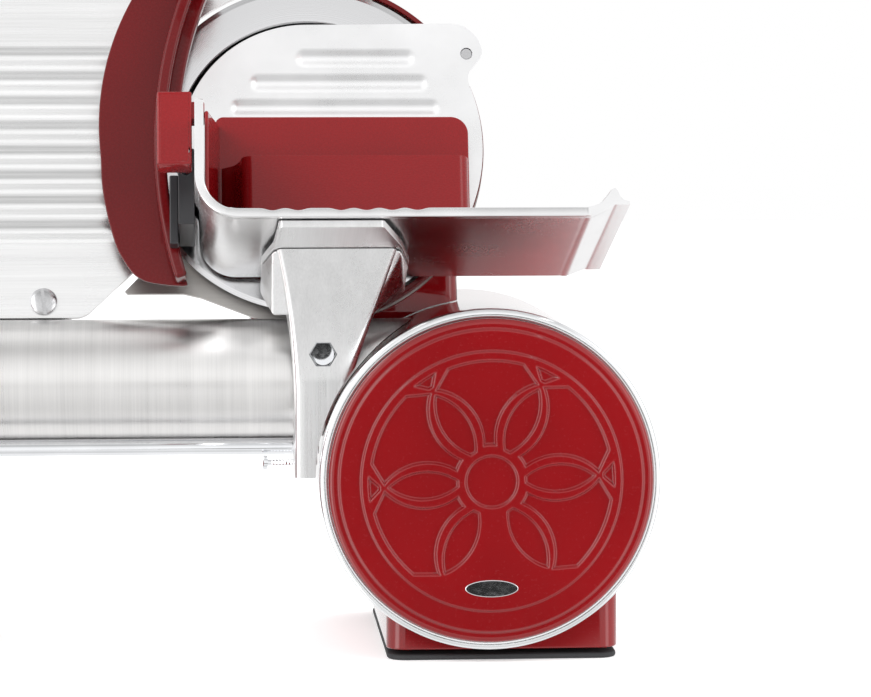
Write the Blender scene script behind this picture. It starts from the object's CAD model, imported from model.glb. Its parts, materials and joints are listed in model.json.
import json
import math

import bmesh
import bpy
import numpy as np
from mathutils import Matrix, Vector


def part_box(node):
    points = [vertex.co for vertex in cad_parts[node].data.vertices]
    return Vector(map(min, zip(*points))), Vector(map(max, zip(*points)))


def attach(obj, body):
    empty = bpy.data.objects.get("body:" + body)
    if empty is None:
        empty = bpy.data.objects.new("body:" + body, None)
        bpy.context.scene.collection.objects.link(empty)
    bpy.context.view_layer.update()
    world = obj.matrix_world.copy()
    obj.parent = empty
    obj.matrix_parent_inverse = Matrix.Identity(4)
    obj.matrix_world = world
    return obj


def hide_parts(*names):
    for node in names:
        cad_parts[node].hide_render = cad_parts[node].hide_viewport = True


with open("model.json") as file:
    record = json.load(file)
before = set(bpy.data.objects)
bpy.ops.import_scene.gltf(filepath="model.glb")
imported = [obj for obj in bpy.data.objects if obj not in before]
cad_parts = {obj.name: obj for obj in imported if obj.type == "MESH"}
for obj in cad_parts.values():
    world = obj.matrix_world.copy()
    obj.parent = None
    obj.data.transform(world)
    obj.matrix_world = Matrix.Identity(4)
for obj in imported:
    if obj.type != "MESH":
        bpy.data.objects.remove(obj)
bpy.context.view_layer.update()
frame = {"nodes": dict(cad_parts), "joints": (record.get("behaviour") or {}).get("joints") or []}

# ---------------------------------------------------------------- frames and sizes from the CAD
GAP = 0.0003                         # between parts that touch or slide
REACH = 0.3                          # how far a cutting tool runs past the part
RIB_LIFT = 0.00002                   # keeps a rib's edge just clear of its sheet
BUTTON_GAP = 0.0005                  # round each button's cap
JOINTS = {joint["name"]: joint for joint in frame["joints"]}
AXIS_X = Vector((1, 0, 0))
AXIS_Y = Vector((0, 1, 0))
AXIS_Z = Vector((0, 0, 1))
OUT = Vector(JOINTS["blade_spin"]["axis"]).normalized()      # square to the blade, towards the operator
UP = OUT.cross(AXIS_X)                                       # up the slope, in the blade's plane


def axes(origin, x, y, z):
    turn = Matrix((x, y, z)).transposed().to_4x4()
    return Matrix.Translation(origin) @ turn


WORLD = Matrix.Identity(4)
BLADE = axes(JOINTS["blade_spin"]["pos_m"], AXIS_X, UP, OUT)         # x, u, n
SLOPE = axes(JOINTS["blade_spin"]["pos_m"], AXIS_X, -OUT, UP)        # x, -n, u
FRONT = axes((0, 0, 0), AXIS_X, AXIS_Z, -AXIS_Y)                     # x, height, towards the operator
SIDE = axes((0, 0, 0), AXIS_Y, AXIS_Z, AXIS_X)                       # depth, height, x


def middle(node):
    low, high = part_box(node)
    return (low + high) / 2


def half_size(node):
    low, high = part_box(node)
    return (high - low) / 2


def local_box(node, matrix):
    """Lowest and highest corner of a CAD node in one of the frames above."""
    inverse = matrix.inverted()
    points = np.array([inverse @ v.co for v in frame["nodes"][node].data.vertices])
    return points.min(0), points.max(0)


def round_node(node, matrix):
    """Centre, radius and ends of a CAD node that is round about a line along the frame's Z."""
    low, high = local_box(node, matrix)
    centre = ((low[0] + high[0]) / 2, (low[1] + high[1]) / 2)
    return centre, (high[0] - low[0]) / 2, (low[2], high[2])


DRUM = (middle("front_drum").x, middle("front_drum").z)
DRUM_R = half_size("front_drum").x
DRUM_FRONT = -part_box("front_drum")[0].y
DRUM_BACK = -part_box("front_drum")[1].y
RIM_R = half_size("drum_rim").x
RIM_FACE = -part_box("drum_rim")[0].y
CAP_R = half_size("flower_cap").x
CAP_FACE = -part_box("flower_cap")[0].y
PEDESTAL = (middle("pedestal_drum").x, middle("pedestal_drum").z)
PEDESTAL_R = half_size("pedestal_drum").x
PEDESTAL_FRONT = -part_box("pedestal_drum")[0].y
PEDESTAL_BACK = -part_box("pedestal_drum")[1].y
TUBE = (middle("base_tube").y, middle("base_tube").z)
TUBE_R = half_size("base_tube").z
ROD = (middle("guide_rod").y, middle("guide_rod").z)
ROD_R = half_size("guide_rod").z
BLADE_R = half_size("blade").x
ARM_BACK = -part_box("carriage_arm")[1].y
ARM_TOP_FRONT = -0.1558
ARM_HEAD = (-0.1541, -0.0636)        # the arm's sides where it meets the bracket


# ---------------------------------------------------------------- materials
def node_chain(name):
    material = bpy.data.materials.new(name)
    material.use_nodes = True
    tree = material.node_tree
    return material, tree, tree.nodes["Principled BSDF"]


def add(tree, kind, inputs=None, **settings):
    node = tree.nodes.new(kind)
    for key, value in settings.items():
        setattr(node, key, value)
    for key, value in (inputs or {}).items():
        if isinstance(value, bpy.types.NodeSocket):
            tree.links.new(value, node.inputs[key])
        else:
            node.inputs[key].default_value = value
    return node


def noise(tree, vector, scale, detail=3.0):
    inputs = {"Vector": vector, "Scale": scale, "Detail": detail}
    return add(tree, "ShaderNodeTexNoise", inputs).outputs["Fac"]


def spread(tree, value, low, high):
    mapped = add(tree, "ShaderNodeMapRange",
                 {"Value": value, "From Min": 0.3, "From Max": 0.7, "To Min": low, "To Max": high})
    return mapped.outputs["Result"]


def tint(tree, factor, dark, light):
    mixed = add(tree, "ShaderNodeMix", {"Factor": factor}, data_type="RGBA")
    mixed.inputs["A"].default_value = (*dark, 1.0)
    mixed.inputs["B"].default_value = (*light, 1.0)
    return mixed.outputs["Result"]


def shade(colour, amount):
    return tuple(min(1.0, c * amount) for c in colour)


def bump(tree, height, strength, distance):
    inputs = {"Height": height, "Strength": strength, "Distance": distance}
    return add(tree, "ShaderNodeBump", inputs).outputs["Normal"]


def average(tree, first, second):
    total = add(tree, "ShaderNodeMath", {0: first, 1: second}, operation="ADD").outputs[0]
    return add(tree, "ShaderNodeMath", {0: total, 1: 0.5}, operation="MULTIPLY").outputs[0]


def finish(tree, shader, colour, tone, tones, wear, roughness, relief, metallic=1.0):
    """Wire a surface: tone varies the colour, wear the roughness, and relief is its normal."""
    dark, light = (shade(colour, amount) for amount in tones)
    low, high = roughness
    tree.links.new(tint(tree, spread(tree, tone, 0, 1), dark, light), shader.inputs["Base Color"])
    tree.links.new(spread(tree, wear, low, high), shader.inputs["Roughness"])
    tree.links.new(relief, shader.inputs["Normal"])
    shader.inputs["Metallic"].default_value = metallic


def stretched(tree, scale):
    """Object coordinates, scaled, and moved so that no piece straddles the noise's centre."""
    place = add(tree, "ShaderNodeTexCoord").outputs["Object"]
    inputs = {"Vector": place, "Scale": scale, "Location": (3.1, 5.7, 2.3)}
    return add(tree, "ShaderNodeMapping", inputs).outputs["Vector"]


def enamel(name, colour, roughness=0.22, coat=1.0):
    """Deep stoved enamel: clear coat over a slightly uneven colour, with orange peel and fine scuffs."""
    material, tree, shader = node_chain(name)
    place = stretched(tree, (1, 1, 1))
    depth = noise(tree, place, 9.0, 2.0)
    scuffs = noise(tree, stretched(tree, (1, 1, 3)), 420.0, 4.0)
    peel = bump(tree, noise(tree, place, 90.0, 1.0), 0.025, 0.0004)
    finish(tree, shader, colour, depth, (0.90, 1.08), scuffs, (roughness - 0.05, roughness + 0.07), peel,
           0.0)
    shader.inputs["Coat Weight"].default_value = coat
    shader.inputs["Coat Roughness"].default_value = 0.035
    shader.inputs["Coat IOR"].default_value = 1.5
    shader.inputs["Specular IOR Level"].default_value = 0.12
    return material


def brushed(name, colour, roughness, stretch, strength=0.12):
    """Metal with a directional grain: stretch is small along the grain and large across it."""
    material, tree, shader = node_chain(name)
    fine = noise(tree, stretched(tree, stretch), 1.0, 5.0)
    broad = noise(tree, stretched(tree, tuple(s * 0.12 for s in stretch)), 1.0, 2.0)
    smudge = noise(tree, stretched(tree, (1, 1, 1)), 14.0, 3.0)
    grain = average(tree, fine, broad)
    finish(tree, shader, colour, grain, (0.90, 1.06), average(tree, grain, smudge),
           (roughness - 0.06, roughness + 0.10), bump(tree, fine, strength, 0.00025))
    return material


def turned_metal(name, colour, roughness):
    """Lathe-turned metal: fine rings round the object's Z axis."""
    rings_per_metre = 2600.0
    material, tree, shader = node_chain(name)
    place = add(tree, "ShaderNodeTexCoord").outputs["Object"]
    flat = add(tree, "ShaderNodeVectorMath", {0: place, 1: (1, 1, 0)}, operation="MULTIPLY").outputs[0]
    radius = add(tree, "ShaderNodeVectorMath", {0: flat}, operation="LENGTH").outputs["Value"]
    rings = add(tree, "ShaderNodeMath", {0: radius, 1: rings_per_metre}, operation="MULTIPLY").outputs[0]
    line = add(tree, "ShaderNodeTexNoise", {"W": rings, "Scale": 1.0, "Detail": 3.0},
               noise_dimensions="1D").outputs["Fac"]
    smudge = noise(tree, place, 18.0, 3.0)
    finish(tree, shader, colour, line, (0.88, 1.06), average(tree, line, smudge),
           (roughness - 0.05, roughness + 0.08), bump(tree, line, 0.10, 0.0002))
    return material


def satin(name, colour, roughness, scale, strength, metallic=1.0):
    """Bead-blasted or moulded surface with an even fine grain and faint cloudiness."""
    material, tree, shader = node_chain(name)
    place = stretched(tree, (1, 1, 1))
    grain = noise(tree, place, scale, 3.0)
    cloud = noise(tree, place, 22.0, 3.0)
    finish(tree, shader, colour, cloud, (0.94, 1.04), average(tree, grain, cloud),
           (roughness - 0.05, roughness + 0.08), bump(tree, grain, strength, 0.0003), metallic)
    return material


# look: (material, slot)
LOOKS = {
    "enamel": (enamel("enamel_red", (0.160, 0.0015, 0.0030)), "red_enamel"),
    "guard_enamel": (enamel("guard_enamel_red", (0.088, 0.0020, 0.0030), 0.26, 0.40), "red_enamel"),
    "pusher": (enamel("pusher_enamel_red", (0.170, 0.0025, 0.0040), 0.26, 0.60), "red_enamel"),
    "tube": (brushed("tube_brushed", (0.83, 0.82, 0.81), 0.30, (900, 14, 14), 0.06), "brushed_aluminium"),
    "arm": (brushed("arm_brushed", (0.84, 0.84, 0.84), 0.27, (1100, 12, 1100), 0.04), "brushed_aluminium"),
    "arm_side": (brushed("arm_side_brushed", (0.84, 0.84, 0.84), 0.27, (900, 900, 12), 0.04),
                 "brushed_aluminium"),
    "plate": (brushed("plate_brushed", (0.50, 0.48, 0.46), 0.34, (14, 900, 900)), "brushed_aluminium"),
    "casting": (satin("casting_alloy", (0.62, 0.62, 0.63), 0.42, 500.0, 0.25), "brushed_aluminium"),
    "tray": (satin("tray_satin", (0.92, 0.92, 0.925), 0.22, 900.0, 0.02), "satin_aluminium"),
    "cover": (satin("cover_satin", (0.93, 0.93, 0.935), 0.30, 900.0, 0.02), "satin_aluminium"),
    "gauge": (brushed("gauge_brushed", (0.90, 0.90, 0.90), 0.24, (12, 900, 900), 0.02), "satin_aluminium"),
    "rim": (satin("rim_satin_chrome", (0.84, 0.85, 0.86), 0.15, 500.0, 0.02), "chrome"),
    "blade": (turned_metal("blade_turned", (0.74, 0.74, 0.75), 0.17), "blade_steel"),
    "steel": (turned_metal("steel_turned", (0.60, 0.60, 0.61), 0.24), "steel"),
    "sheet_steel": (brushed("sheet_steel", (0.62, 0.62, 0.63), 0.25, (14, 900, 900)), "steel"),
    "chrome": (satin("chrome_polished", (0.86, 0.87, 0.89), 0.07, 300.0, 0.01), "chrome"),
    "rubber": (satin("rubber_moulded", (0.022, 0.022, 0.024), 0.72, 700.0, 0.35, 0.0), "rubber"),
    "black": (satin("plastic_black", (0.016, 0.016, 0.018), 0.38, 900.0, 0.15, 0.0), "black_plastic"),
    "nylon": (satin("nylon_white", (0.74, 0.73, 0.70), 0.40, 600.0, 0.12, 0.0), "nylon"),
    "green": (satin("plastic_green", (0.010, 0.16, 0.035), 0.22, 600.0, 0.05, 0.0), "green_plastic"),
    "stone": (satin("stone_grit", (0.30, 0.27, 0.24), 0.92, 1800.0, 0.9, 0.0), "stone"),
    "ink": (satin("ink_white", (0.80, 0.80, 0.80), 0.40, 600.0, 0.05, 0.0), "nylon"),
}


# ---------------------------------------------------------------- modelling tools
def show(obj, look, body, *nodes):
    """Colour a piece, hang it on its body and let it stand for its CAD nodes."""
    material, slot = LOOKS[look]
    obj.data.materials.clear()
    obj.data.materials.append(material)
    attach(obj, body)
    if nodes:
        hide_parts(*nodes)


def show_node(node, look):
    """A CAD node whose shape is right keeps it and gets a finished material."""
    obj = frame["nodes"][node]
    obj.data.materials.clear()
    obj.data.materials.append(LOOKS[look][0])


def from_mesh(name, mesh, matrix, sharp=34):
    mesh.shade_smooth()
    mesh.set_sharp_from_angle(angle=math.radians(sharp))
    obj = bpy.data.objects.new(name, mesh)
    bpy.context.scene.collection.objects.link(obj)
    obj.matrix_world = matrix
    return obj


def from_faces(name, matrix, points, faces, sharp=34):
    mesh = bpy.data.meshes.new(name)
    mesh.from_pydata([tuple(map(float, p)) for p in points], [], faces)
    body = bmesh.new()
    body.from_mesh(mesh)
    bmesh.ops.remove_doubles(body, verts=body.verts, dist=0.000002)
    bmesh.ops.recalc_face_normals(body, faces=body.faces)
    body.to_mesh(mesh)
    body.free()
    return from_mesh(name, mesh, matrix, sharp)


def plate(name, matrix, outline, low, high, edge=0.0, segments=3):
    """A flat outline in the frame's XY plane, thick from low to high along Z, with rounded edges."""
    count = len(outline)
    points = [(x, y, low) for x, y in outline] + [(x, y, high) for x, y in outline]
    faces = [tuple(range(count))[::-1], tuple(range(count, 2 * count))]
    faces += [(i, (i + 1) % count, count + (i + 1) % count, count + i) for i in range(count)]
    obj = from_faces(name, matrix, points, faces)
    return rounded(obj, edge, segments) if edge else obj


def block(name, matrix, x, y, z, edge=0.002, segments=3):
    outline = [(x[0], y[0]), (x[1], y[0]), (x[1], y[1]), (x[0], y[1])]
    return plate(name, matrix, outline, z[0], z[1], edge, segments)


def node_block(name, node, matrix, edge=0.002, segments=3):
    """A block that fills a CAD node's box in the frame."""
    low, high = local_box(node, matrix)
    return block(name, matrix, *zip(low, high), edge, segments)


def rounded(obj, width, segments=3, angle=32):
    bevel = obj.modifiers.new("rounded edges", "BEVEL")
    bevel.width = width
    bevel.segments = segments
    bevel.limit_method = "ANGLE"
    bevel.angle_limit = math.radians(angle)
    bevel.harden_normals = True
    return obj


def turned(name, matrix, profile, centre=(0.0, 0.0), segments=128, sharp=30):
    """A profile of (radius, height) points turned about the frame's Z through the centre."""
    angles = np.linspace(0, 2 * math.pi, segments, endpoint=False)
    points = []
    for radius, height in profile:
        points += [(radius * math.cos(a), radius * math.sin(a), height) for a in angles]
    faces = []
    rows = len(profile)
    closed = profile[0][0] > 0 and profile[-1][0] > 0
    for i in range(rows if closed else rows - 1):
        j = (i + 1) % rows
        for k in range(segments):
            m = (k + 1) % segments
            faces.append((i * segments + k, i * segments + m, j * segments + m, j * segments + k))
    here = matrix @ Matrix.Translation((centre[0], centre[1], 0.0))
    return from_faces(name, here, points, faces, sharp)


def rod(name, matrix, centre, radius, ends, edge=0.0004, segments=48):
    low, high = ends
    profile = [(0.0, high), (radius - edge, high), (radius, high - edge), (radius, low + edge),
               (radius - edge, low), (0.0, low)]
    return turned(name, matrix, profile, centre, segments)


def carve(obj, tool):
    """Cut the tool out of the piece and drop the tool."""
    boolean = obj.modifiers.new("carve", "BOOLEAN")
    boolean.object = tool
    boolean.operation = "DIFFERENCE"
    boolean.solver = "EXACT"
    freeze(obj)
    bpy.data.objects.remove(tool, do_unlink=True)


def drill(obj, matrix, spot, radius, low=0.0, high=REACH, segments=48):
    """A sharp-edged round hole along the frame's Z."""
    carve(obj, rod("tool", matrix, spot, radius, (low, high), 0.0, segments))


def freeze(obj):
    """Apply the modifiers."""
    bpy.context.view_layer.update()
    graph = bpy.context.evaluated_depsgraph_get()
    mesh = bpy.data.meshes.new_from_object(obj.evaluated_get(graph))
    obj.modifiers.clear()
    obj.data = mesh
    mesh.shade_smooth()
    mesh.set_sharp_from_angle(angle=math.radians(32))


def polar(centre, radius, degrees):
    a = math.radians(degrees)
    return centre[0] + radius * math.cos(a), centre[1] + radius * math.sin(a)


def arc(centre, radius, start, end, steps):
    return [polar(centre, radius, start + (end - start) * i / steps) for i in range(steps + 1)]


def shoulder(radius, face, edge, count, first=0.0):
    """The rounded front edge of a turned profile, from its face round to its side."""
    turns = np.linspace(first, math.pi / 2, count)
    return [(radius - edge + edge * math.sin(t), face - edge + edge * math.cos(t)) for t in turns]


def heel(radius, back, edge, count=8):
    """The rounded rear edge of a turned profile, from its side round to its back."""
    turns = np.linspace(0, math.pi / 2, count)
    return [(radius - edge + edge * math.cos(t), back + edge - edge * math.sin(t)) for t in turns]


def soft_rectangle(x, y, radius, steps=8):
    points = arc((x[1] - radius, y[1] - radius), radius, 0, 90, steps)
    points += arc((x[0] + radius, y[1] - radius), radius, 90, 180, steps)
    points += arc((x[0] + radius, y[0] + radius), radius, 180, 270, steps)
    points += arc((x[1] - radius, y[0] + radius), radius, 270, 360, steps)
    return points


def ribbon(path, thickness):
    """The path, and back along its left side at the thickness."""
    inner = []
    for i, point in enumerate(path):
        before = Vector(path[max(i - 1, 0)])
        after = Vector(path[min(i + 1, len(path) - 1)])
        along = (after - before).normalized()
        inner.append((point[0] - along.y * thickness, point[1] + along.x * thickness))
    return list(path) + inner[::-1]


def spline(points, steps=6):
    """A smooth line through the points."""
    closed = [points[0]] + list(points) + [points[-1]]
    line = [points[0]]
    for a, b, c, d in zip(closed, closed[1:], closed[2:], closed[3:]):
        a, b, c, d = (np.array(q) for q in (a, b, c, d))
        for i in range(1, steps + 1):
            t = i / steps
            curve = (2 * a - 5 * b + 4 * c - d) * t ** 2 + (3 * b - a - 3 * c + d) * t ** 3
            line.append(tuple(0.5 * (2 * b + (c - a) * t + curve)))
    return line


def hull(name, matrix, points, edge):
    """The convex solid round some points, with rounded edges."""
    body = bmesh.new()
    for point in points:
        body.verts.new(point)
    made = bmesh.ops.convex_hull(body, input=body.verts)
    bmesh.ops.delete(body, geom=made["geom_interior"], context="VERTS")
    bmesh.ops.dissolve_limit(body, angle_limit=math.radians(0.5), verts=body.verts, edges=body.edges)
    bmesh.ops.recalc_face_normals(body, faces=body.faces)
    mesh = bpy.data.meshes.new(name)
    body.to_mesh(mesh)
    body.free()
    return rounded(from_mesh(name, mesh, matrix), edge, 4, 20)


def cut_drum(obj, centre, radius):
    drill(obj, FRONT, centre, radius, -REACH, REACH, 192)


def cut_tube(obj, radius):
    drill(obj, SIDE, TUBE, radius, -0.7, REACH, 128)


def grid_faces(rows, count, wrap=False):
    """Quads between rows of points, closed round each row if it wraps."""
    faces = []
    for i in range(rows - 1):
        for k in range(count if wrap else count - 1):
            m = (k + 1) % count
            faces.append((i * count + k, (i + 1) * count + k, (i + 1) * count + m, i * count + m))
    return faces


def open_sheet(name, matrix, points, faces, sharp):
    mesh = bpy.data.meshes.new(name)
    mesh.from_pydata(points, [], faces)
    return from_mesh(name, mesh, matrix, sharp)


def tangent_rib(name, left, right, across, half, height, sheet):
    """A pressed rib that rises from a sheet with no crease: a grid over a stadium, lifted by a cosine."""
    step = half / 7
    xs = np.arange(left - half, right + half + step, step)
    if len(xs) > 60:
        ends = np.linspace(0, half, 8)
        xs = np.concatenate([left - half + ends, np.linspace(left, right, 12)[1:-1], right + ends])
    ys = np.linspace(-half, half, 15)
    points = []
    for x in xs:
        for y in ys:
            away = math.hypot(max(left - x, x - right, 0.0), y) / half
            lift = 0.5 + 0.5 * math.cos(math.pi * min(away, 1.0))
            points.append((x, across + y, sheet + RIB_LIFT + height * lift))
    return open_sheet(name, BLADE, points, grid_faces(len(xs), len(ys)), 80)


# ---------------------------------------------------------------- drum, rim and rosette cap
def smooth(value):
    value = np.clip(value, 0.0, 1.0)
    return value * value * (3 - 2 * value)


def lens(x, y, inner, outer, half_width):
    """Signed distance, roughly, to a lens with its axis along x: negative inside."""
    half = (outer - inner) / 2
    radius = (half * half + half_width * half_width) / (2 * half_width)
    centre = (inner + outer) / 2
    return np.maximum(np.hypot(x - centre, y - (radius - half_width)) - radius,
                      np.hypot(x - centre, y + (radius - half_width)) - radius)


def rosette(x, y):
    """Signed distance to the nearest sunk cell of a six-petal rosette: negative inside a cell."""
    turn = math.radians(3)
    radius = np.hypot(x, y)
    cells = [radius - 0.0184]
    outer_lens = []
    facets = []
    floor = -y - 0.0660
    for k in range(6):
        a = math.radians(60 * k) + turn
        px = x * math.cos(a) + y * math.sin(a)
        py = -x * math.sin(a) + y * math.cos(a)
        low_petal = k in (4, 5)
        inner = np.maximum(lens(px, py, 0.0215, 0.0735, 0.0098), 0.0242 - px)
        cells.append(np.maximum(inner, floor) if low_petal else inner)
        outer_lens.append(lens(px, py, 0.0150, 0.0785, 0.0162))
        facets.append((15 * (px - 0.0765) - 8 * (np.abs(py) - 0.0030)) / 17)
        if not low_petal:
            wedge = np.maximum(0.0800 - px, (np.abs(py) - (px - 0.0785) * 0.95) * 0.72)
            cells.append(np.maximum(wedge, radius - 0.0872))
    bearing = np.degrees(np.arctan2(y, x)) - 3
    for k in (0, 1, 2, 3, 5):
        centre = 60 * k + 30
        spread_angle = np.abs((bearing - centre + 180) % 360 - 180)
        cell = np.maximum(radius - 0.0862, 0.0265 - radius)
        for m in (k, (k + 1) % 6):
            cell = np.maximum(cell, -outer_lens[m])
            cell = np.maximum(cell, facets[m])
        cell = np.maximum(cell, (spread_angle - 30) * 0.001)
        if k in (3, 5):
            cell = np.maximum(cell, floor)
        cells.append(cell)
    return np.minimum.reduce(cells)


def make_cap():
    """The drum's enamelled cap: a raised disc with sunk cells, a ring groove and a rolled edge."""
    sunk, soft = 0.0020, 0.0009
    relief_r, flat_r = 0.0975, 0.1120
    roll = CAP_R - flat_r
    roll_steps = np.array([0.12, 0.26, 0.42, 0.58, 0.74, 0.88, 0.97, 1.0])
    radii = np.concatenate([np.linspace(0.0, relief_r, 200)[1:],
                            np.linspace(relief_r + 0.0005, flat_r, 26),
                            flat_r + roll * roll_steps])
    segments = 900
    angles = np.linspace(0, 2 * math.pi, segments, endpoint=False)
    r, a = np.meshgrid(radii, angles, indexing="ij")
    x, y = r * np.cos(a), r * np.sin(a)
    height = -sunk * smooth(0.5 - rosette(x, y) / (2 * soft))
    for drop, start in ((0.0016, 0.0920), (0.0014, 0.1075)):
        height -= drop * smooth((r - start) / 0.0016)
    edge = np.clip((r - flat_r) / roll, 0, 1)
    height -= 0.0030 * (1 - np.sqrt(np.clip(1 - edge * edge, 0, 1)))
    points = np.stack([x, y, CAP_FACE + height], -1).reshape(-1, 3)
    skirt = np.stack([x[-1], y[-1], np.full(segments, RIM_FACE - 0.0060)], -1)
    points = np.concatenate([points, skirt, [[0.0, 0.0, CAP_FACE - sunk]]])
    tip = len(points) - 1
    faces = [(tip, k, (k + 1) % segments) for k in range(segments)]
    faces += grid_faces(len(radii) + 1, segments, True)
    here = FRONT @ Matrix.Translation((*DRUM, 0))
    show(open_sheet("rosette_cap", here, points.tolist(), faces, 70), "enamel", "base", "flower_cap")


def make_badge():
    low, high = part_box("cap_badge")
    centre = (low + high) / 2
    size = (high - low) / 2
    outline = [(centre.x + size.x * math.cos(t), centre.z + size.z * math.sin(t))
               for t in np.linspace(0, 2 * math.pi, 64, endpoint=False)]
    badge = plate("oval_badge", FRONT, outline, CAP_FACE - 0.0012, -low.y - 0.0003, 0.0006, 3)
    show(badge, "chrome", "base", "cap_badge")


def make_drum():
    mouth = DRUM_R - 0.003
    shell = [(0.0, DRUM_FRONT - 0.002), (mouth, DRUM_FRONT - 0.002), (mouth, DRUM_FRONT),
             (DRUM_R, DRUM_FRONT)]
    shell += heel(DRUM_R, DRUM_BACK, 0.006) + [(0.0, DRUM_BACK)]
    show(turned("drum_shell", FRONT, shell, DRUM, 192), "enamel", "base", "front_drum")
    front, bore = DRUM_FRONT + GAP, CAP_R - 0.004
    rim = [(CAP_R + GAP, RIM_FACE - 0.0004), (RIM_R - 0.0050, RIM_FACE)]
    rim += shoulder(RIM_R, RIM_FACE, 0.0035, 8)
    rim += [(RIM_R, front + 0.0005), (RIM_R - 0.0005, front), (bore, front), (bore, front + 0.004),
            (CAP_R + GAP, front + 0.004)]
    show(turned("rim_ring", FRONT, rim, DRUM, 192), "rim", "base", "drum_rim")
    head = [(0.0, DRUM_BACK - 0.0001), (0.0022, DRUM_BACK - 0.0001), (0.0030, DRUM_BACK + 0.0006),
            (0.0030, DRUM_BACK + 0.0020), (0.0, DRUM_BACK + 0.0020)]
    for k in range(6):
        screw = turned("drum_back_screw_%d" % k, FRONT, head, polar(DRUM, 0.092, 60 * k + 30), 24)
        show(screw, "chrome", "base")


# ---------------------------------------------------------------- feet, tube, pedestal, switches and neck
def foot_block(name, node, rise, edge):
    """An upright block with round corners over a node's outline."""
    low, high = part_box(node)
    outline = soft_rectangle((low.x, high.x), (low.y, high.y), 0.013, 10)
    return plate(name, WORLD, outline, low.z, high.z + rise, edge)


def make_foot(side, drum, radius):
    foot = foot_block(side + "_foot_casting", side + "_foot", 0.004, 0.0015)
    freeze(foot)
    cut_drum(foot, drum, radius + GAP)
    if side == "left":
        cut_tube(foot, TUBE_R + GAP)
        for node in ("start_button", "stop_button"):
            spot, button_r, (back, _) = round_node(node, FRONT)
            pocket = 0.0045
            drill(foot, FRONT, spot, button_r + BUTTON_GAP, back - pocket)
    show(foot, "enamel", "base", side + "_foot")
    show(foot_block(side + "_sole_pad", side + "_sole", 0.0, 0.0014), "rubber", "base", side + "_sole")


def make_tube():
    low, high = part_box("base_tube")
    profile = [(0.0, high.x), (TUBE_R, high.x), (TUBE_R, low.x), (0.0, low.x)]
    tube = turned("beam_tube", SIDE, profile, TUBE, 160)
    cut_drum(tube, DRUM, DRUM_R + GAP)
    cut_drum(tube, PEDESTAL, PEDESTAL_R + GAP)
    # the piece's own X is turned to run along the tube, so that the grain's lines go round it
    tube.data.transform(Matrix.Rotation(math.pi / 2, 4, "Y"))
    tube.matrix_world = tube.matrix_world @ Matrix.Rotation(-math.pi / 2, 4, "Y")
    show(tube, "tube", "base", "base_tube")
    low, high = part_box("guide_rod")
    show(rod("guide_bar", SIDE, ROD, ROD_R, (low.x, high.x)), "chrome", "base", "guide_rod")
    rail = node_block("roller_track", "roller_rail", WORLD, 0.0012)
    show(rail, "sheet_steel", "base", "roller_rail")


def make_pedestal():
    shell = [(0.0, PEDESTAL_FRONT), (PEDESTAL_R, PEDESTAL_FRONT)]
    shell += heel(PEDESTAL_R, PEDESTAL_BACK, 0.008) + [(0.0, PEDESTAL_BACK)]
    show(turned("pedestal_shell", FRONT, shell, PEDESTAL, 128), "enamel", "base", "pedestal_drum")
    _, radius, (back, face) = round_node("dial_scale", FRONT)
    ring = [(0.0425, face), (radius - 0.0060, face)] + shoulder(radius, face, 0.0060, 7, 0.3)
    ring += [(radius, back), (0.0066, back), (0.0066, back + 0.0050), (0.0420, back + 0.0050),
             (0.0420, face - 0.0005)]
    show(turned("dial_ring", FRONT, ring, PEDESTAL, 128), "chrome", "base", "dial_scale")
    marks = 20
    centre = FRONT @ Matrix.Translation((*PEDESTAL, 0))
    for k in range(marks):
        here = centre @ Matrix.Rotation(math.radians(330 * k / (marks - 1) - 75), 4, "Z")
        inner = 0.0432 if k % 5 == 0 else 0.0445
        mark = block("scale_mark_%d" % k, here, (inner, 0.0485), (-0.0003, 0.0003),
                     (face - 0.0002, face + 0.00012), 0.0)
        show(mark, "black", "base")
    make_dial()


def make_dial():
    _, radius, (back, face) = round_node("thickness_dial", FRONT)
    profile = [(0.0, face - 0.0012), (0.0230, face - 0.0012), (0.0245, face - 0.0002), (0.0320, face)]
    profile += shoulder(radius - 0.0012, face, 0.0080, 8, 0.1)
    profile += [(radius, back + 0.0020), (radius - 0.0010, back), (0.0, back)]
    dial = turned("dial_knob", FRONT, profile, PEDESTAL, 160)
    for k in range(16):
        drill(dial, FRONT, polar(PEDESTAL, radius + 0.0022, 22.5 * k + 11.25), 0.0046, segments=24)
    rounded(dial, 0.0008, 2, 30)
    show(dial, "enamel", "dial", "thickness_dial")
    x, z = PEDESTAL
    pointer = block("dial_pointer", FRONT, (x - 0.0008, x + 0.0008), (z + 0.0255, z + 0.0330),
                    (face - 0.0006, face), 0.0001, 1)
    show(pointer, "ink", "dial")
    show_node("dial_shaft", "steel")


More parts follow.
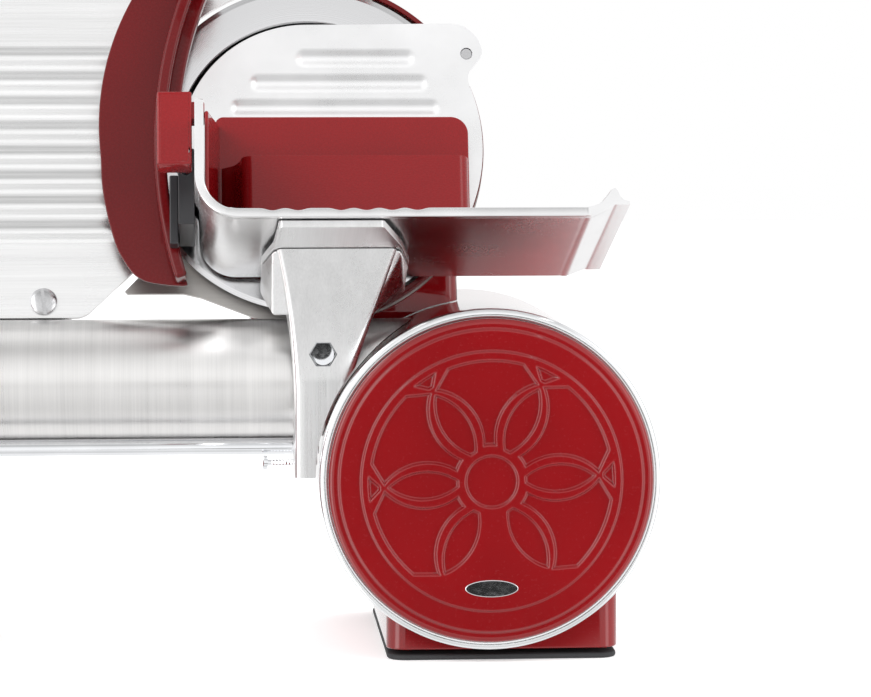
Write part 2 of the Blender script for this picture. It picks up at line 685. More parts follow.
def make_switch():
    low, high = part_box("switch_panel")
    outline = soft_rectangle((low.x, high.x), (low.z, high.z), 0.005)
    panel = plate("switch_plate", FRONT, outline, -high.y, -low.y)
    for node in ("start_button", "stop_button"):
        spot, radius, _ = round_node(node, FRONT)
        drill(panel, FRONT, spot, radius + BUTTON_GAP)
    rounded(panel, 0.0005, 2)
    show(panel, "sheet_steel", "base", "switch_panel")
    for node, look, body in (("start_button", "green", "start_key"), ("stop_button", "black", "stop_key")):
        spot, radius, (back, face) = round_node(node, FRONT)
        cap = [(0.0, face - 0.0008), (0.0045, face - 0.0006), (radius - 0.0016, face)]
        cap += shoulder(radius, face, 0.0012, 5, 0.2) + [(radius, back), (0.0, back)]
        show(turned(node + "_cap", FRONT, cap, spot, 64), look, body, node)
        under, over = face - 0.0012, face - 0.0006
        if node == "start_button":
            icon = block("start_icon", FRONT, (spot[0] - 0.0004, spot[0] + 0.0004),
                         (spot[1] - 0.0026, spot[1] + 0.0026), (under, face - 0.0005), 0.0)
        else:
            ring = [(0.0026, over), (0.0026, under), (0.0019, under), (0.0019, over)]
            icon = turned("stop_icon", FRONT, ring, spot, 48)
        show(icon, "ink", body)


def make_neck():
    low, high = local_box("neck_casting", SIDE)
    head_n = -0.0212
    top, bottom = (BLADE @ Vector((0, u, head_n)) for u in (-0.066, -0.120))
    outline = [(low[0], low[1]), (high[0], low[1]), (high[0], 0.262), (0.070, 0.2780), (top.y, top.z),
               (bottom.y, bottom.z), (low[0], 0.2360)]
    neck = plate("neck_cast", SIDE, outline, low[2], high[2], 0.010, 5)
    freeze(neck)
    cut_drum(neck, DRUM, DRUM_R + GAP)
    cut_tube(neck, TUBE_R + 0.001)
    show(neck, "enamel", "base", "neck_casting")


def make_inlet():
    low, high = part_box("mains_inlet")
    wall = 0.005
    inlet = node_block("inlet_body", "mains_inlet", WORLD, 0.0015)
    freeze(inlet)
    carve(inlet, block("tool", WORLD, (low.x + wall, high.x - wall), (low.y + 0.003, high.y + 0.1),
                       (low.z + wall, high.z - wall), 0.0))
    show(inlet, "black", "base", "mains_inlet")
    centre = middle("mains_inlet")
    for k in range(3):
        x = centre.x + 0.0062 * (k - 1)
        z = centre.z + (0.0022 if k == 1 else -0.0012)
        pin = block("inlet_pin_%d" % k, WORLD, (x - 0.0009, x + 0.0009), (low.y + 0.002, high.y - 0.0012),
                    (z - 0.0022, z + 0.0022), 0.0003, 1)
        show(pin, "chrome", "base")


# ---------------------------------------------------------------- blade head
def make_blade():
    dish, depth, back = 0.0985, -0.008, -0.0110
    hole, edge = 0.0182, BLADE_R
    profile = [(hole, depth), (0.0930, depth), (0.0950, depth + 0.0004), (dish - 0.0008, -0.0012),
               (dish + 0.0004, -0.0003), (dish + 0.0020, -0.0001), (edge - 0.0038, 0.0),
               (edge - 0.0034, -0.0001), (edge, -0.0007), (edge - 0.0035, -0.0024), (0.1010, -0.0036),
               (0.0970, back), (hole, back)]
    show(turned("disc_blade", BLADE, profile, (0, 0), 256, 12), "blade", "blade_disc", "blade")


def finish_drive():
    """The drive's inner parts keep their CAD meshes and get their materials."""
    for node in ("blade_spindle", "drive_motor", "spindle_bearing"):
        show_node(node, "steel")
    for node in ("blade_pulley", "motor_pulley"):
        show_node(node, "nylon")
    show_node("drive_belt", "rubber")
    show_node("bearing_housing", "casting")


def make_cover():
    """Pressed plate over the blade's middle, with an ear for its screw and long pressed ribs."""
    low, high = 0.0010, 0.0044
    top, reach = 0.0955, 0.1300
    ear = spline([(0.1205, 0.0500), (0.1204, 0.0545), (0.1217, 0.0580), (0.1256, 0.0631), (0.1299, 0.0691),
                  (0.1313, 0.0745), (0.1281, 0.0835), (0.1224, 0.0899), (0.1164, 0.0940), (0.1080, top)], 5)
    outline = arc((0.0, 0.0), top - 0.001, 90, 270, 96)
    outline += arc((0.0, 0.0), reach, -47, 21, 60) + ear
    cover = plate("blade_shield", BLADE, outline, low, high)
    spot = (0.1194, 0.0719)
    drill(cover, BLADE, spot, 0.0046, -0.02, 0.02, 32)
    rounded(cover, 0.0012, 3, 50)
    show(cover, "cover", "base", "blade_cover")
    lefts = (-0.0100, -0.0441, -0.0589, -0.0660, -0.0690, -0.0660, -0.0589, -0.0441, -0.0100)
    half = 0.0078
    for k, left in enumerate(lefts):
        u = 0.0684 - k * 0.0193
        right = min(0.0821 + k * 0.0095, 0.1000)
        name = "shield_rib_%d" % k
        show(tangent_rib(name, left + half, right - half, u, half, 0.0016, high), "cover", "base")
    head = [(0.0, high - 0.0006), (0.0038, high - 0.0006), (0.0044, high - 0.0012), (0.0044, low), (0.0, low)]
    show(turned("shield_screw", BLADE, head, spot, 48), "steel", "base")
    post = rod("shield_post", BLADE, spot, 0.0058, (-0.0160, low + 0.0002))
    show(post, "chrome", "base")


def make_rings():
    inner, outer = 0.1274, 0.1310
    for node, start, end in (("ring_guard", -75, 67), ("ring_guard_top", 86, 104)):
        steps = end - start
        outline = arc((0.0, 0.0), outer, start, end, steps) + arc((0.0, 0.0), inner, end, start, steps)
        ring = plate(node + "_hoop", BLADE, outline, -0.0163, 0.0004, 0.0009)
        show(ring, "guard_enamel", "base", node)


def make_head_plate():
    low, high = local_box("head_plate", BLADE)
    outline = arc((0.0, 0.0), 0.1318, -108, 104, 160)
    outline += arc((0.0, 0.0), 0.0960, 112, 205, 72)
    outline += arc((-0.1220, -0.0780), 0.0120, 0, -45, 4) + [(-0.1262, -0.0945), (-0.1362, -0.1050)]
    outline += arc((-0.1340, -0.1058), 0.0012, 190, 270, 3)
    outline += [(-0.0930, -0.1070), (-0.0800, -0.1100)]
    head = plate("head_disc", BLADE, outline, low[2], high[2])
    cut_tube(head, TUBE_R + 0.0008)
    carve(head, block("tool", BLADE, (0.0180, 0.0420), (0.1245, 0.1400), (-0.03, 0.0), 0.0))
    rounded(head, 0.0006, 2, 40)
    show(head, "plate", "base", "head_plate")


def make_drive_cover():
    low, high = local_box("drive_cover", BLADE)
    back = low[2]
    outline = arc((0.0, 0.0), 0.0560, 70, 290, 72) + arc((0.070, 0.010), 0.0480, -82, 98, 56)
    cover = plate("drive_housing", BLADE, outline, back, high[2], 0.009, 6)
    show(cover, "enamel", "base", "drive_cover")
    for k in range(7):
        u = -0.018 + 0.0090 * k
        outline = soft_rectangle((0.050, 0.096), (u - 0.0016, u + 0.0016), 0.0015, 4)
        show(plate("vent_%d" % k, BLADE, outline, back - 0.00005, back + 0.0010), "black", "base")
    head = [(0.0, back + 0.0004), (0.0016, back - 0.0002), (0.0032, back - 0.0001), (0.0034, back + 0.0010),
            (0.0, back + 0.0010)]
    for k, spot in enumerate(((-0.040, 0.028), (-0.040, -0.028), (0.030, 0.046), (0.030, -0.040))):
        show(turned("housing_screw_%d" % k, BLADE, head, spot, 24), "chrome", "base")


def make_sharpener():
    low, high = local_box("sharpener_body", BLADE)
    outline = [(x, -n) for x, n in soft_rectangle((low[0], high[0]), (low[2], high[2]), 0.010)]
    body = plate("sharpener_shell", SLOPE, outline, low[1], high[1], 0.004, 4)
    freeze(body)
    carve(body, block("tool", BLADE, (-0.1, 0.2), (0.10, 0.158), (-0.026, 0.022), 0.0))
    show(body, "enamel", "sharpener", "sharpener_body")
    bracket = node_block("sharpener_arm", "sharpener_bracket", BLADE, 0.0012)
    show(bracket, "casting", "base", "sharpener_bracket")
    show(rod("sharpener_column", SLOPE, *round_node("sharpener_post", SLOPE)), "chrome", "base",
         "sharpener_post")
    for node, body_name in (("grinding_stone", "grinder"), ("honing_stone", "honer")):
        spot, radius, (back, face) = round_node(node, BLADE)
        edge = 0.0008
        wheel = [(0.0, face - 0.0010), (0.0030, face - 0.0010), (0.0034, face), (radius - edge, face),
                 (radius, face - edge), (radius, back + edge), (radius - edge, back), (0.0, back)]
        show(turned(node + "_wheel", BLADE, wheel, spot, 64), "stone", body_name, node)
    spot, _, (base, top) = round_node("sharpener_knob", SLOPE)
    knob = [(0.0, top - 0.0006), (0.0060, top - 0.0002), (0.0090, top), (0.0110, top - 0.0012),
            (0.0117, top - 0.0034), (0.0115, top - 0.0085), (0.0100, top - 0.0115), (0.0066, top - 0.0150),
            (0.0060, base), (0.0, base)]
    dial = turned("sharpener_grip", SLOPE, knob, spot, 96)
    for k in range(12):
        flute = polar((0.036, 0.0), 0.0132, 30 * k)
        drill(dial, SLOPE, flute, 0.0020, top - 0.011, top + 0.01, 12)
    show(dial, "black", "sharpener", "sharpener_knob")


def make_deflector():
    low, high = local_box("slice_deflector", SLOPE)
    path = arc((-0.0940, 0.0553), 0.0342, 270, 360, 36) + [(-0.0598, 0.0850), (-0.0598, high[1])]
    sheet = plate("deflector_sheet", SLOPE, ribbon(path, 0.0012), low[2], high[2], 0.0004, 2)
    show(sheet, "sheet_steel", "base", "slice_deflector")


# ---------------------------------------------------------------- gauge plate
def make_gauge():
    low, high = -0.0056, -0.0016
    (left, bottom, _), (_, top, _) = local_box("gauge_plate", BLADE)
    clear = BLADE_R + 0.0035
    corner = 0.012
    outline = arc((left + corner, top - corner), corner, 90, 180, 10)
    outline += arc((left + corner, bottom + corner), corner, 180, 270, 10)
    outline += arc((-0.1720, bottom + 0.016), 0.016, 270, 315, 10)
    meet = 180 - math.degrees(math.asin(top / clear))
    outline += arc((0.0, 0.0), clear, 214, meet, 90)
    gauge = plate("gauge_sheet", BLADE, outline, low, high, 0.0010)
    show(gauge, "gauge", "gauge", "gauge_plate")
    for k in range(8):
        u = -0.0625 + k * 0.01904
        right = -math.sqrt((clear + 0.012) ** 2 - u * u) - 0.004
        bead = tangent_rib("gauge_bead_%d" % k, left + 0.014, right, u, 0.0090, 0.0024, high)
        show(bead, "gauge", "gauge")
    for k in range(2):
        make_dome_screw(k)


def make_dome_screw(k):
    node = "gauge_screw_%d" % k
    spot, radius, (base, tip) = round_node(node, BLADE)
    tall = tip - base
    dome = [(radius * math.sin(t), base + tall * (0.25 + 0.75 * math.cos(t)))
            for t in np.linspace(0, math.pi / 2, 14)]
    screw = turned("dome_screw_%d" % k, BLADE, dome + [(radius, base), (0.0, base)], spot, 96)
    here = BLADE @ Matrix.Translation((*spot, 0)) @ Matrix.Rotation(0.12, 4, "Z")
    slot = (base + 0.35 * tall, base + 0.02)
    carve(screw, block("tool", here, (-0.0013, 0.0013), (-0.02, 0.02), slot, 0.0))
    show(screw, "steel", "gauge", node)


def make_gauge_slide():
    """The gauge plate's carrier, its two pins and the guide that the pins slide in."""
    low, high = local_box("gauge_bracket", BLADE)
    bracket = block("gauge_carrier", BLADE, (low[0], high[0]), (low[1], high[1]), (-0.0220, high[2]), 0.003)
    show(bracket, "casting", "gauge", "gauge_bracket")
    slideway = node_block("gauge_guide", "gauge_slideway", BLADE, 0.005, 4)
    freeze(slideway)
    cut_tube(slideway, TUBE_R + GAP)
    for k, x in enumerate((-0.2640, -0.1940)):
        spot = (x, -0.1140)
        show(rod("carrier_pin_%d" % k, BLADE, spot, 0.0050, (-0.0800, -0.0200)), "chrome", "gauge")
        drill(slideway, BLADE, spot, 0.0056, -0.12, 0.0, 32)
    show(slideway, "casting", "base", "gauge_slideway")


# ---------------------------------------------------------------- carriage
TRAY_LOW, TRAY_HIGH = local_box("carriage_tray", BLADE)
WALL_X = TRAY_LOW[0]
TRAY_T = 0.0062
TRAY_CORNER = 0.030


def tray_section():
    """The under face's line, from the wall's top round the corner to the floor's end."""
    top, under = TRAY_HIGH[1], TRAY_LOW[1]
    corner = (WALL_X + TRAY_CORNER, under + TRAY_CORNER)
    path = [(WALL_X, top), (WALL_X, top - 0.004), (WALL_X, (top + corner[1]) / 2)]
    path += arc(corner, TRAY_CORNER, 180, 270, 20)
    first, end, steps = corner[0] + 0.004, 0.184, 110
    path += [(first + (end - first) * i / steps, under) for i in range(steps + 1)]
    return path


def tray_lip(hem):
    """The lip's two lines, beyond the floor: the under side and the upper side, ending in a narrow flange."""
    count = 40
    under = np.array(spline([(0.1850, -0.1036), (0.1900, -0.1028), (0.1975, -0.0988), (0.2024, -0.0961),
                             (0.2060, -0.0960), (0.2144, -0.0960)], 8))
    upper = np.array(spline([(0.1850, -0.0973), (0.1935, -0.0948), (0.1983, -0.0898), (0.2015, -0.0856),
                             (0.2041, -0.0840), (0.2062, -0.0858), (0.2092, -0.0915), (0.2144, -0.0932)], 8))
    lines = []
    for line, lift in ((under, 0.003 * hem), (upper, 0.0)):
        run = np.concatenate([[0.0], np.cumsum(np.hypot(*np.diff(line, axis=0).T))])
        even = np.linspace(0, run[-1], count)
        xs, us = np.interp(even, run, line[:, 0]), np.interp(even, run, line[:, 1])
        us = us + lift * np.clip(1 - np.linspace(0, 1.6, count), 0, 1)
        lines.append(list(zip(xs, us)))
    return lines


def rib_height(x):
    """Shallow flutes that run out towards the operator, grouped as on a pressed tray floor."""
    groups = ((-0.0313, 2), (0.0155, 4))
    pitch, depth = 0.0175, 0.0016
    height = 0.0
    for first, count in groups:
        for k in range(count):
            away = (x - first - k * pitch) / (pitch * 0.5)
            if abs(away) < 1:
                height -= depth * (0.5 + 0.5 * math.cos(math.pi * away))
    return height


def make_tray():
    near, far = TRAY_HIGH[2], TRAY_LOW[2]
    step = 0.0006
    floor_top = TRAY_LOW[1] + TRAY_T
    stations = [near, near - step, near - 0.0020, near - 0.0060, near - 0.0075]
    stations += list(np.linspace(near - 0.012, far + 0.004, 24)) + [far + step, far]
    path = tray_section()
    columns, under_columns = [], []
    for n in stations:
        hem = max(0.0, min(1.0, (near - 0.0072 - n) / 0.0020))
        edge = step if n in (near, far) else 0.0
        inner = ribbon(path, TRAY_T - edge)[len(path):][::-1]
        outer = ribbon(path, 0.0030 * hem + edge)[len(path):][::-1]
        inner = [(x, u + rib_height(x) if u < floor_top + 0.001 else u - step) for x, u in inner]
        under_lip, upper_lip = tray_lip(hem)
        columns.append([(x, u - edge, n) for x, u in inner + upper_lip])
        under_columns.append([(x, u, n) for x, u in outer + under_lip])
    count = len(columns[0])
    rows = len(stations)
    points = [p for column in columns for p in column] + [p for column in under_columns for p in column]
    shift = rows * count
    upper = grid_faces(rows, count)
    faces = upper + [tuple(shift + v for v in face[::-1]) for face in upper]
    for i in range(rows - 1):
        for a in (i * count, i * count + count - 1):
            faces.append((a, a + count, shift + a + count, shift + a))
    for i in (0, rows - 1):
        for a in range(i * count, i * count + count - 1):
            faces.append((a, shift + a, shift + a + 1, a + 1))
    tray = from_faces("tray_casting", BLADE, points, faces, 38)
    show(tray, "tray", "carriage", "carriage_tray")


def make_bracket():
    low, high = local_box("tray_bracket", SLOPE)
    outline = [(-0.0372, -0.060), (-0.0372, -0.0850), (-0.0295, -0.1290), (-0.0270, -0.1845),
               (-0.0250, -0.1865), (0.0440, -0.1865), (0.0460, -0.1845), (0.0610, -0.1290), (0.0681, -0.0850),
               (0.0681, -0.060)]
    bracket = plate("tray_saddle", SLOPE, outline, low[2], high[2] + 0.0002, 0.0008, 3)
    show(bracket, "arm", "carriage", "tray_bracket")


BRACKET_UNDER = local_box("tray_bracket", BLADE)[0][1]


def under_bracket(y):
    """The height of the tray bracket's under side at a given Y."""
    u = BRACKET_UNDER - GAP
    n = (y - u * UP.y) / OUT.y
    return BLADE.translation.z + n * OUT.z + u * UP.z


def arm_rings(stations):
    """Sections of the cast arm up its height: it leans out and flares towards the bracket."""
    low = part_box("carriage_arm")[0].z
    top = under_bracket(ARM_TOP_FRONT)
    foot, head, flare_z, lean_z = (-0.1386, -0.1027), ARM_HEAD, 0.188, 0.205
    front, back = -0.1210, -ARM_BACK
    radius = 0.0046
    turns = [math.radians(a) for a in range(0, 91, 15)]
    rings = []
    for i in range(stations + 1):
        t = i / stations
        z = low + (top - low) * t
        grow = max(0.0, (z - flare_z) / (top + 0.010 - flare_z))
        left = foot[0] + (head[0] - foot[0]) * grow ** 2.2
        right = foot[1] + (head[1] - foot[1]) * grow ** 1.17
        lean = max(0.0, (z - lean_z) / (top - lean_z))
        face = front + (ARM_TOP_FRONT - front) * lean ** 1.6
        ys = [face + radius - radius * math.sin(a) for a in turns]
        cuts = [radius - radius * math.cos(a) for a in turns]
        section = [(left, back)] + [(left + cut, y) for cut, y in zip(cuts, ys)]
        section += [(left + (right - left) * k / 8, face) for k in range(2, 7)]
        section += [(right - cut, y) for cut, y in zip(cuts[::-1], ys[::-1])] + [(right, back)]
        rings.append([(x, y, low + (under_bracket(y) - 0.0002 - low) * t) for x, y in section])
    return rings


def make_arm():
    """Cast arm, lofted up its height, with its shoulders, and a hexagonal bush in a socket."""
    stations = 72
    rings = arm_rings(stations)
    count = len(rings[0])
    points = [q for ring in rings for q in ring]
    ends = [tuple(range(count)), tuple(range(stations * count, (stations + 1) * count))[::-1]]
    arm = from_faces("arm_casting", WORLD, points, ends + grid_faces(stations + 1, count, True))
    cut_drum(arm, DRUM, RIM_R + 0.0015)
    spot, flats = (-0.1183, 0.2213), 6
    drill(arm, FRONT, spot, 0.0100, segments=flats)
    show(arm, "arm_side", "carriage", "carriage_arm")
    make_shoulders()
    face, seat = -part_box("arm_bush")[0].y, ARM_BACK + 0.001
    profile = [(0.0, face), (0.0090, face), (0.0097, face - 0.0008), (0.0097, seat), (0.0, seat)]
    nut = turned("arm_hex_bush", FRONT, profile, spot, flats, 20)
    drill(nut, FRONT, spot, 0.0078, ARM_BACK + 0.004, segments=64)
    rounded(nut, 0.0004, 2, 25)
    show(nut, "chrome", "carriage", "arm_bush")


def make_shoulders():
    """The cast swell under the bracket, in front, and the brace behind it."""
    front, back, under = ARM_TOP_FRONT + 0.004, -ARM_BACK, 0.0004
    shoulders = [(x, front, under_bracket(front) - under) for x in ARM_HEAD]
    rim = [(-0.1610, 0.2727), (-0.1541, 0.2484), (-0.0824, 0.2484), (-0.0600, 0.2695)]
    for y in (-0.1120, back):
        shoulders += [(x, y, under_bracket(y) - under) for x in (-0.1618, -0.0565)]
        shoulders += [(x, y, z) for x, z in rim]
    show(hull("arm_shoulders", WORLD, shoulders, 0.0022), "arm_side", "carriage")
    sides, near, far = (-0.1616, -0.0567), -0.0966, -0.0602
    brace = [(x, y, under_bracket(y) - 0.0002) for x in sides for y in (near, far)]
    brace += [(x, near, z) for x, z in rim] + [(x, far, 0.2602) for x in sides]
    brace += [(x, -0.0660, 0.2502) for x in (-0.1541, -0.0824)]
    show(hull("arm_brace", WORLD, brace, 0.0025), "arm_side", "carriage", "arm_gusset")


def make_rod_hub():
    hub = node_block("slide_bearing", "rod_hub", WORLD, 0.0028, 4)
    freeze(hub)
    cut_drum(hub, DRUM, DRUM_R + 0.0015)
    drill(hub, SIDE, ROD, ROD_R + GAP, -REACH, 0.0, 64)
    show(hub, "arm_side", "carriage", "rod_hub")
    low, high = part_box("stop_bolt")
    spot = (middle("stop_bolt").y, middle("stop_bolt").z)
    bolt = [(0.0, high.x), (0.0022, high.x)]
    pitch, threads = 0.0023, 7
    for k in range(threads):
        x = high.x - 0.001 - pitch * k
        bolt += [(0.0024, x), (0.0019, x - pitch / 2)]
    bolt += [(0.0022, low.x + 0.0036), (0.0052, low.x + 0.0035), (0.0052, low.x + 0.0006), (0.0046, low.x),
             (0.0, low.x)]
    show(turned("stop_stud", SIDE, bolt, spot, 40), "chrome", "carriage", "stop_bolt")


def make_guard():
    """Crescent hand guard: a flat enamelled plate, a raised rib along its inner edge and a step beside it."""
    centre, radius = (0.2245, -0.0080), 0.339
    outer = arc((0.0505, 0.0120), 0.205, 145, 186, 50)
    outer += spline([(-0.1529, -0.0180), (-0.1519, -0.0356), (-0.1479, -0.0581), (-0.1421, -0.0790),
                     (-0.1371, -0.0894), (-0.1307, -0.0991), (-0.1250, -0.1040), (-0.1177, -0.1071),
                     (-0.1034, -0.1094), (-0.0930, -0.1100)], 6)
    inner = arc(centre, radius - 0.0090, 197.9, 156.0, 60)
    guard = plate("guard_blade", BLADE, outer + inner, 0.0182, 0.0213, 0.0010)
    show(guard, "guard_enamel", "carriage", "hand_guard")
    rib = arc(centre, radius - 0.0004, 156.0, 197.4, 70) + arc(centre, radius - 0.0096, 197.4, 156.0, 70)
    show(plate("guard_ridge", BLADE, rib, 0.0184, 0.0418, 0.0030, 5), "guard_enamel", "carriage")
    step = arc(centre, radius - 0.0080, 156.0, 173.0, 40) + arc(centre, radius - 0.0183, 173.0, 156.0, 40)
    show(plate("guard_shelf", BLADE, step, 0.0186, 0.0318, 0.0020, 4), "guard_enamel", "carriage")


def make_side_block():
    """The black block between tray and guard, bored for the pusher's rod, and its liner."""
    side = node_block("side_housing", "side_block", BLADE, 0.0)
    spot, radius, _ = round_node("pusher_rod", BLADE)
    drill(side, BLADE, spot, radius + GAP)
    rounded(side, 0.0010, 3)
    edge = local_box("side_block", BLADE)[0][0]
    liner = block("side_liner", BLADE, (edge - 0.0065, edge - 0.0001), (-0.0870, -0.0360), (0.0216, 0.0560),
                  0.0010)
    show(liner, "black", "carriage")
    show(side, "black", "carriage", "side_block")


def make_handle():
    spot, radius, ends = round_node("handle_stem", BLADE)
    show(rod("handle_shank", BLADE, spot, radius, ends), "chrome", "carriage", "handle_stem")
    _, size, (base, top) = round_node("handle_grip", BLADE)
    outline = ((0.0, 0.60), (0.02, 0.90), (0.06, 0.99), (0.14, 0.84), (0.34, 0.76), (0.60, 0.91), (0.80, 1.0),
               (0.92, 0.86), (0.98, 0.50), (1.0, 0.0))
    stations = np.linspace(0, 1, 48)
    widths = np.interp(stations, *zip(*outline))
    widths = np.convolve(np.pad(widths, 2, mode="edge"), np.ones(5) / 5, mode="valid")
    widths[-1] = 0.0
    profile = [(size * 0.995 * w, base + (top - base) * t) for t, w in zip(stations, widths)]
    profile = profile[::-1] + [(0.0, base)]
    show(turned("handle_knob", BLADE, profile, spot, 96, 50), "enamel", "carriage", "handle_grip")


def make_pusher():
    """Moulded pusher: flanged plate, a raised box with chamfered ends, a cheek and its slider."""
    low, high = local_box("pusher_plate", BLADE)
    x0, x1, foot, top = -0.0690, high[0], low[1], high[1]
    back = low[2]
    corner = (WALL_X + TRAY_CORNER, TRAY_LOW[1] + TRAY_CORNER)
    turn = corner[1] - foot
    start = 180 + math.degrees(math.acos((corner[0] - x0) / turn))
    outline = arc(corner, turn, start, 270, 14) + [(x1, foot)]
    outline += arc((x1 - 0.013, top - 0.013), 0.013, 0, 90, 14)
    outline += arc((x0 + 0.006, top - 0.006), 0.006, 90, 180, 8)
    sheet = plate("pusher_sheet", BLADE, outline, back, back + 0.0040, 0.0012)
    show(sheet, "pusher", "pusher", "pusher_plate")
    corner_r = 0.0095
    near, left, right = -0.0600, -0.0505, 0.1148
    turn_y = near + corner_r
    shell = spline([(-0.0655, -back - 0.0030), (-0.0625, -back - 0.0060), (-0.0560, -back - 0.0120),
                    (left - 0.0015, -back - 0.0220), (left, turn_y)], 5)
    shell += arc((left + corner_r, turn_y), corner_r, 180, 270, 10)[1:]
    shell += arc((right - corner_r, turn_y), corner_r, 270, 360, 10) + [(right, -back - 0.0030)]
    raised = plate("pusher_shell", SLOPE, shell, foot, -0.0225, 0.0052, 6)
    show(raised, "pusher", "pusher")
    reach = local_box("pusher_slider", BLADE)[1][2] - 0.0002
    wing = [(x, u, back + 0.0015) for x in (x0 + 0.0003, x0 + 0.0033) for u in (-0.0876, top - 0.0065)]
    wing += [(x, u, reach) for x in (-0.0772, -0.0744) for u in (-0.0716, -0.0114)]
    show(hull("pusher_cheek", BLADE, wing, 0.0012), "pusher", "pusher")
    make_slider()


def make_slider():
    """The block that carries the pusher on its rod, the rod and the bridge over the tray's wall."""
    low, high = local_box("pusher_slider", BLADE)
    left, right, inset = low[0], -0.0861, 0.0022
    slider = block("slider_block", BLADE, (left, right), (low[1], high[1]), (low[2], high[2]), 0.0016, 4)
    freeze(slider)
    spot, radius, ends = round_node("pusher_rod", BLADE)
    drill(slider, BLADE, spot, radius + GAP)
    show(slider, "pusher", "pusher", "pusher_slider")
    outline = soft_rectangle((left + inset, right - inset), (low[1] + inset, high[1] - inset), 0.0010, 3)
    face = plate("slider_face", BLADE, outline, high[2] - 0.0004, high[2] + 0.0003, 0.0003, 2)
    show(face, "pusher", "pusher")
    bridge = block("slider_bridge", BLADE, (right - 0.002, -0.0771), (-0.0165, -0.0035),
                   (low[2] + 0.003, high[2] - 0.003), 0.0015)
    show(bridge, "pusher", "pusher")
    show(rod("pusher_bar", BLADE, spot, radius, ends), "chrome", "pusher", "pusher_rod")


# ---------------------------------------------------------------- stage
def ramp_of(tree, factor, stops):
    ramp = add(tree, "ShaderNodeValToRGB", {"Fac": factor})
    ramp.color_ramp.elements[0].position, ramp.color_ramp.elements[1].position = stops[0][0], stops[-1][0]
    for position, value in stops[1:-1]:
        ramp.color_ramp.elements.new(position)
    for element, (position, value) in zip(ramp.color_ramp.elements, stops):
        element.position = position
        element.color = (value, value, value, 1.0)
    return ramp.outputs["Color"]


def scaled(tree, value, low, high, curve="LINEAR"):
    """The value from low to high, as 0 to 1."""
    inputs = {"Value": value, "From Min": low, "From Max": high}
    return add(tree, "ShaderNodeMapRange", inputs, interpolation_type=curve).outputs["Result"]


def blend(tree, factor, first, second):
    """From the first colour to a grey, by the factor."""
    mixed = add(tree, "ShaderNodeMix", {"Factor": factor}, data_type="RGBA")
    tree.links.new(first, mixed.inputs["A"])
    mixed.inputs["B"].default_value = (second, second, second, 1.0)
    return mixed.outputs["Result"]


def make_world():
    """White sweep behind; in front a soft sky, two bright side strips and a dark flag just below level."""
    world = bpy.data.worlds.new("studio")
    bpy.context.scene.world = world
    world.use_nodes = True
    tree = world.node_tree
    place = add(tree, "ShaderNodeTexCoord").outputs["Generated"]
    split = add(tree, "ShaderNodeSeparateXYZ", {0: place}).outputs
    height, across = (scaled(tree, split[axis], -1.0, 1.0) for axis in ("Z", "X"))
    front = ramp_of(tree, height, ((0.0, 1.05), (0.067, 0.75), (0.33, 0.95), (0.45, 1.10), (0.67, 1.12),
                                   (0.74, 1.0), (0.82, 0.95), (0.90, 0.72), (0.96, 0.50), (1.0, 0.48)))
    strips = ramp_of(tree, across, ((0.0, 1.0), (0.04, 1.0), (0.08, 3.4), (0.17, 3.4), (0.24, 1.0),
                                    (0.50, 1.0), (0.80, 1.0), (0.86, 2.6), (0.92, 2.6), (0.96, 1.0),
                                    (1.0, 1.0)))
    lit = add(tree, "ShaderNodeVectorMath", {0: front, 1: strips}, operation="MULTIPLY").outputs["Vector"]
    toward = add(tree, "ShaderNodeVectorMath", {0: place, 1: (0.085, -0.988, -0.125)},
                 operation="DOT_PRODUCT").outputs["Value"]
    flag = scaled(tree, toward, 0.9915, 0.9972, "SMOOTHSTEP")
    behind = scaled(tree, split["Y"], -0.55, 0.15, "SMOOTHSTEP")
    seen = add(tree, "ShaderNodeLightPath").outputs["Is Camera Ray"]
    colour = blend(tree, flag, lit, 0.03)
    colour = blend(tree, behind, colour, 1.0)
    colour = blend(tree, seen, colour, 1.0)
    tree.links.new(colour, tree.nodes["Background"].inputs["Color"])


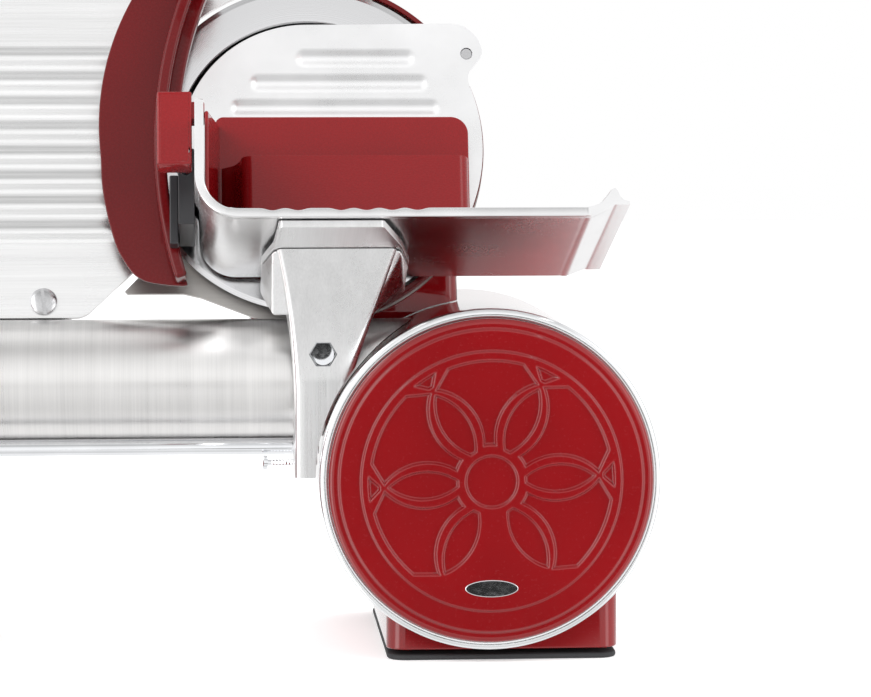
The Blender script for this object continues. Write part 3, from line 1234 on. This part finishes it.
def area_light(name, place, target, size, power):
    light = bpy.data.lights.new(name, "AREA")
    light.shape = "RECTANGLE"
    light.size, light.size_y = size
    light.energy = power
    obj = bpy.data.objects.new(name, light)
    bpy.context.scene.collection.objects.link(obj)
    obj.visible_glossy = False
    obj.location = place
    obj.rotation_euler = (Vector(target) - Vector(place)).to_track_quat("-Z", "Y").to_euler()


def make_stage():
    material, _, shader = node_chain("paper_white")
    shader.inputs["Base Color"].default_value = (0.92, 0.92, 0.92, 1.0)
    shader.inputs["Roughness"].default_value = 0.9
    shader.inputs["Specular IOR Level"].default_value = 0.1
    shader.inputs["Emission Color"].default_value = (1.0, 1.0, 1.0, 1.0)
    shader.inputs["Emission Strength"].default_value = 0.28
    half, under = 6, -0.0002
    corners = [(-half, -half, under), (half, -half, under), (half, half, under), (-half, half, under)]
    floor = from_faces("floor", WORLD, corners, [(0, 1, 2, 3)])
    floor.data.materials.append(material)
    floor.visible_glossy = False
    target = (-0.10, 0.0, 0.22)
    area_light("key", (-1.5, -1.5, 1.5), target, (1.4, 1.0), 26)
    area_light("right_strip", (1.6, -0.9, 0.7), target, (0.5, 1.6), 18)
    area_light("top", (0.0, 0.4, 2.0), target, (2.4, 1.6), 30)


def make_camera():
    camera = bpy.data.cameras.new("camera")
    camera.sensor_width = 36.0
    camera.lens = 144.45
    camera.clip_start, camera.clip_end = 0.1, 50.0
    obj = bpy.data.objects.new("camera", camera)
    bpy.context.scene.collection.objects.link(obj)
    obj.location = (-0.20887, -2.60347, 0.44243)
    forward = Vector((0.06845, 0.99384, -0.08716))
    obj.rotation_euler = forward.to_track_quat("-Z", "Y").to_euler()
    bpy.context.scene.camera = obj


bpy.context.scene.view_settings.view_transform = "Standard"
make_cap()
make_badge()
make_drum()
make_foot("right", DRUM, DRUM_R)
make_foot("left", PEDESTAL, PEDESTAL_R)
make_tube()
make_pedestal()
make_switch()
make_neck()
make_inlet()
make_blade()
finish_drive()
make_cover()
make_rings()
make_head_plate()
make_drive_cover()
make_sharpener()
make_deflector()
make_gauge()
make_gauge_slide()
make_tray()
make_bracket()
make_arm()
make_rod_hub()
make_guard()
make_side_block()
make_handle()
make_pusher()
make_world()
make_stage()
make_camera()
